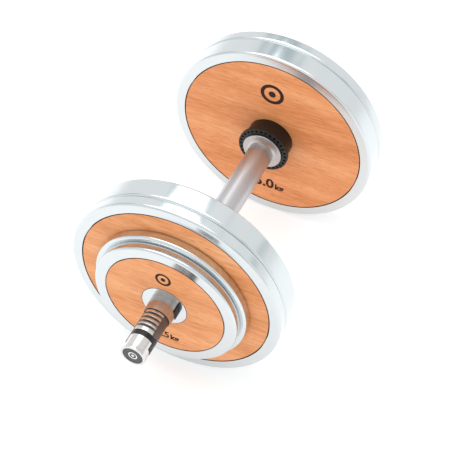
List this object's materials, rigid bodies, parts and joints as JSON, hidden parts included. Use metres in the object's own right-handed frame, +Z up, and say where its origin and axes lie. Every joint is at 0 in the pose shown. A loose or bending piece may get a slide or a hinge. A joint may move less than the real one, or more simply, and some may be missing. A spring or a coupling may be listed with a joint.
{
  "type": "adjustable dumbbell",
  "caption": "Adjustable dumbbell with wood-inlaid steel plates that slide off a grooved bar, and a twist collar with a push button at each end.",
  "frame": {"origin": "on the surface that the plates stand on, under the middle of the grip", "axes": "+X along the bar towards its right end, +Z up, and +Y completes the frame; the left end is the right end turned half a turn about Z"},
  "size_m": [0.4248, 0.2176, 0.2176],
  "materials": {
    "wood_veneer": "oiled veneer, fine horizontal grain",
    "turned_plate_steel": "turned and polished stainless steel",
    "brushed_grip_steel": "lengthwise brushed stainless steel",
    "polished_bar_steel": "polished stainless steel",
    "polished_flange_steel": "polished stainless steel",
    "polished_lock_steel": "polished stainless steel",
    "black_nylon": "moulded satin black",
    "black_rubber": "moulded matt black",
    "badge_enamel": "dark satin enamel",
    "spring_steel": "plain steel"
  },
  "bodies": {
    "bar": {"grip_tube": "brushed_grip_steel", "left_stop_flange": "polished_flange_steel", "left_spacer_ring": "black_nylon", "left_end_rod": "polished_bar_steel", "left_end_guide": "black_nylon", "left_cross_pin": "spring_steel", "left_end_cap": "polished_bar_steel", "left_cap_screw": "spring_steel", "left_end_badge": "badge_enamel", "right_stop_flange": "polished_flange_steel", "right_spacer_ring": "black_nylon", "right_end_rod": "polished_bar_steel", "right_end_guide": "black_nylon", "right_cross_pin": "spring_steel", "right_end_cap": "polished_bar_steel", "right_cap_screw": "spring_steel", "right_end_badge": "badge_enamel"},
    "left_plate_5kg": {"left_plate_5kg_disc": "turned_plate_steel", "left_plate_5kg_inner_wood": "wood_veneer", "left_plate_5kg_outer_wood": "wood_veneer"},
    "left_plate_2_5kg": {"left_plate_2_5kg_disc": "turned_plate_steel", "left_plate_2_5kg_inner_wood": "wood_veneer", "left_plate_2_5kg_outer_wood": "wood_veneer"},
    "left_plate_1_5kg": {"left_plate_1_5kg_disc": "turned_plate_steel", "left_plate_1_5kg_inner_wood": "wood_veneer", "left_plate_1_5kg_outer_wood": "wood_veneer"},
    "left_plate_1_25kg": {"left_plate_1_25kg_disc": "turned_plate_steel", "left_plate_1_25kg_inner_wood": "wood_veneer", "left_plate_1_25kg_outer_wood": "wood_veneer"},
    "left_lock_key": {"left_lock_key_ring": "polished_lock_steel", "left_lock_snap_ring": "spring_steel"},
    "left_lock_sleeve": {"left_lock_sleeve": "polished_lock_steel", "left_button_clip": "spring_steel"},
    "left_release_button": {"left_release_button": "black_rubber"},
    "right_plate_5kg": {"right_plate_5kg_disc": "turned_plate_steel", "right_plate_5kg_inner_wood": "wood_veneer", "right_plate_5kg_outer_wood": "wood_veneer"},
    "right_plate_2_5kg": {"right_plate_2_5kg_disc": "turned_plate_steel", "right_plate_2_5kg_inner_wood": "wood_veneer", "right_plate_2_5kg_outer_wood": "wood_veneer"},
    "right_plate_1_5kg": {"right_plate_1_5kg_disc": "turned_plate_steel", "right_plate_1_5kg_inner_wood": "wood_veneer", "right_plate_1_5kg_outer_wood": "wood_veneer"},
    "right_plate_1_25kg": {"right_plate_1_25kg_disc": "turned_plate_steel", "right_plate_1_25kg_inner_wood": "wood_veneer", "right_plate_1_25kg_outer_wood": "wood_veneer"},
    "right_lock_key": {"right_lock_key_ring": "polished_lock_steel", "right_lock_snap_ring": "spring_steel"},
    "right_lock_sleeve": {"right_lock_sleeve": "polished_lock_steel", "right_button_clip": "spring_steel"},
    "right_release_button": {"right_release_button": "black_rubber"}
  },
  "joints": [
    {"name": "left_plate_5kg_slide", "type": "slide", "parent": "bar", "child": "left_plate_5kg", "axis": [-1, 0, 0], "range_m": [0, 0.125]},
    {"name": "left_plate_2_5kg_slide", "type": "slide", "parent": "left_plate_5kg", "child": "left_plate_2_5kg", "axis": [-1, 0, 0], "range_m": [0, 0.1]},
    {"name": "left_plate_1_5kg_slide", "type": "slide", "parent": "left_plate_2_5kg", "child": "left_plate_1_5kg", "axis": [-1, 0, 0], "range_m": [0, 0.088]},
    {"name": "left_plate_1_25kg_slide", "type": "slide", "parent": "left_plate_1_5kg", "child": "left_plate_1_25kg", "axis": [-1, 0, 0], "range_m": [0, 0.078]},
    {"name": "left_lock_slide", "type": "slide", "parent": "left_plate_1_25kg", "child": "left_lock_key", "axis": [-1, 0, 0], "range_m": [0, 0.066]},
    {"name": "left_lock_twist", "type": "hinge", "parent": "left_lock_key", "child": "left_lock_sleeve", "pos_m": [-0.1583, 0, 0.1088], "axis": [-1, 0, 0], "range_deg": [0, 90]},
    {"name": "left_button_press", "type": "slide", "parent": "left_lock_sleeve", "child": "left_release_button", "axis": [0, 1, 0], "range_m": [0, 0.0005], "stiffness_N_per_m": 4000, "deforming": ["left_button_clip"]},
    {"name": "right_plate_5kg_slide", "type": "slide", "parent": "bar", "child": "right_plate_5kg", "axis": [1, 0, 0], "range_m": [0, 0.125]},
    {"name": "right_plate_2_5kg_slide", "type": "slide", "parent": "right_plate_5kg", "child": "right_plate_2_5kg", "axis": [1, 0, 0], "range_m": [0, 0.1]},
    {"name": "right_plate_1_5kg_slide", "type": "slide", "parent": "right_plate_2_5kg", "child": "right_plate_1_5kg", "axis": [1, 0, 0], "range_m": [0, 0.088]},
    {"name": "right_plate_1_25kg_slide", "type": "slide", "parent": "right_plate_1_5kg", "child": "right_plate_1_25kg", "axis": [1, 0, 0], "range_m": [0, 0.078]},
    {"name": "right_lock_slide", "type": "slide", "parent": "right_plate_1_25kg", "child": "right_lock_key", "axis": [1, 0, 0], "range_m": [0, 0.066]},
    {"name": "right_lock_twist", "type": "hinge", "parent": "right_lock_key", "child": "right_lock_sleeve", "pos_m": [0.1583, 0, 0.1088], "axis": [1, 0, 0], "range_deg": [0, 90]},
    {"name": "right_button_press", "type": "slide", "parent": "right_lock_sleeve", "child": "right_release_button", "axis": [0, -1, 0], "range_m": [0, 0.0005], "stiffness_N_per_m": 4000, "deforming": ["right_button_clip"]}
  ]
}
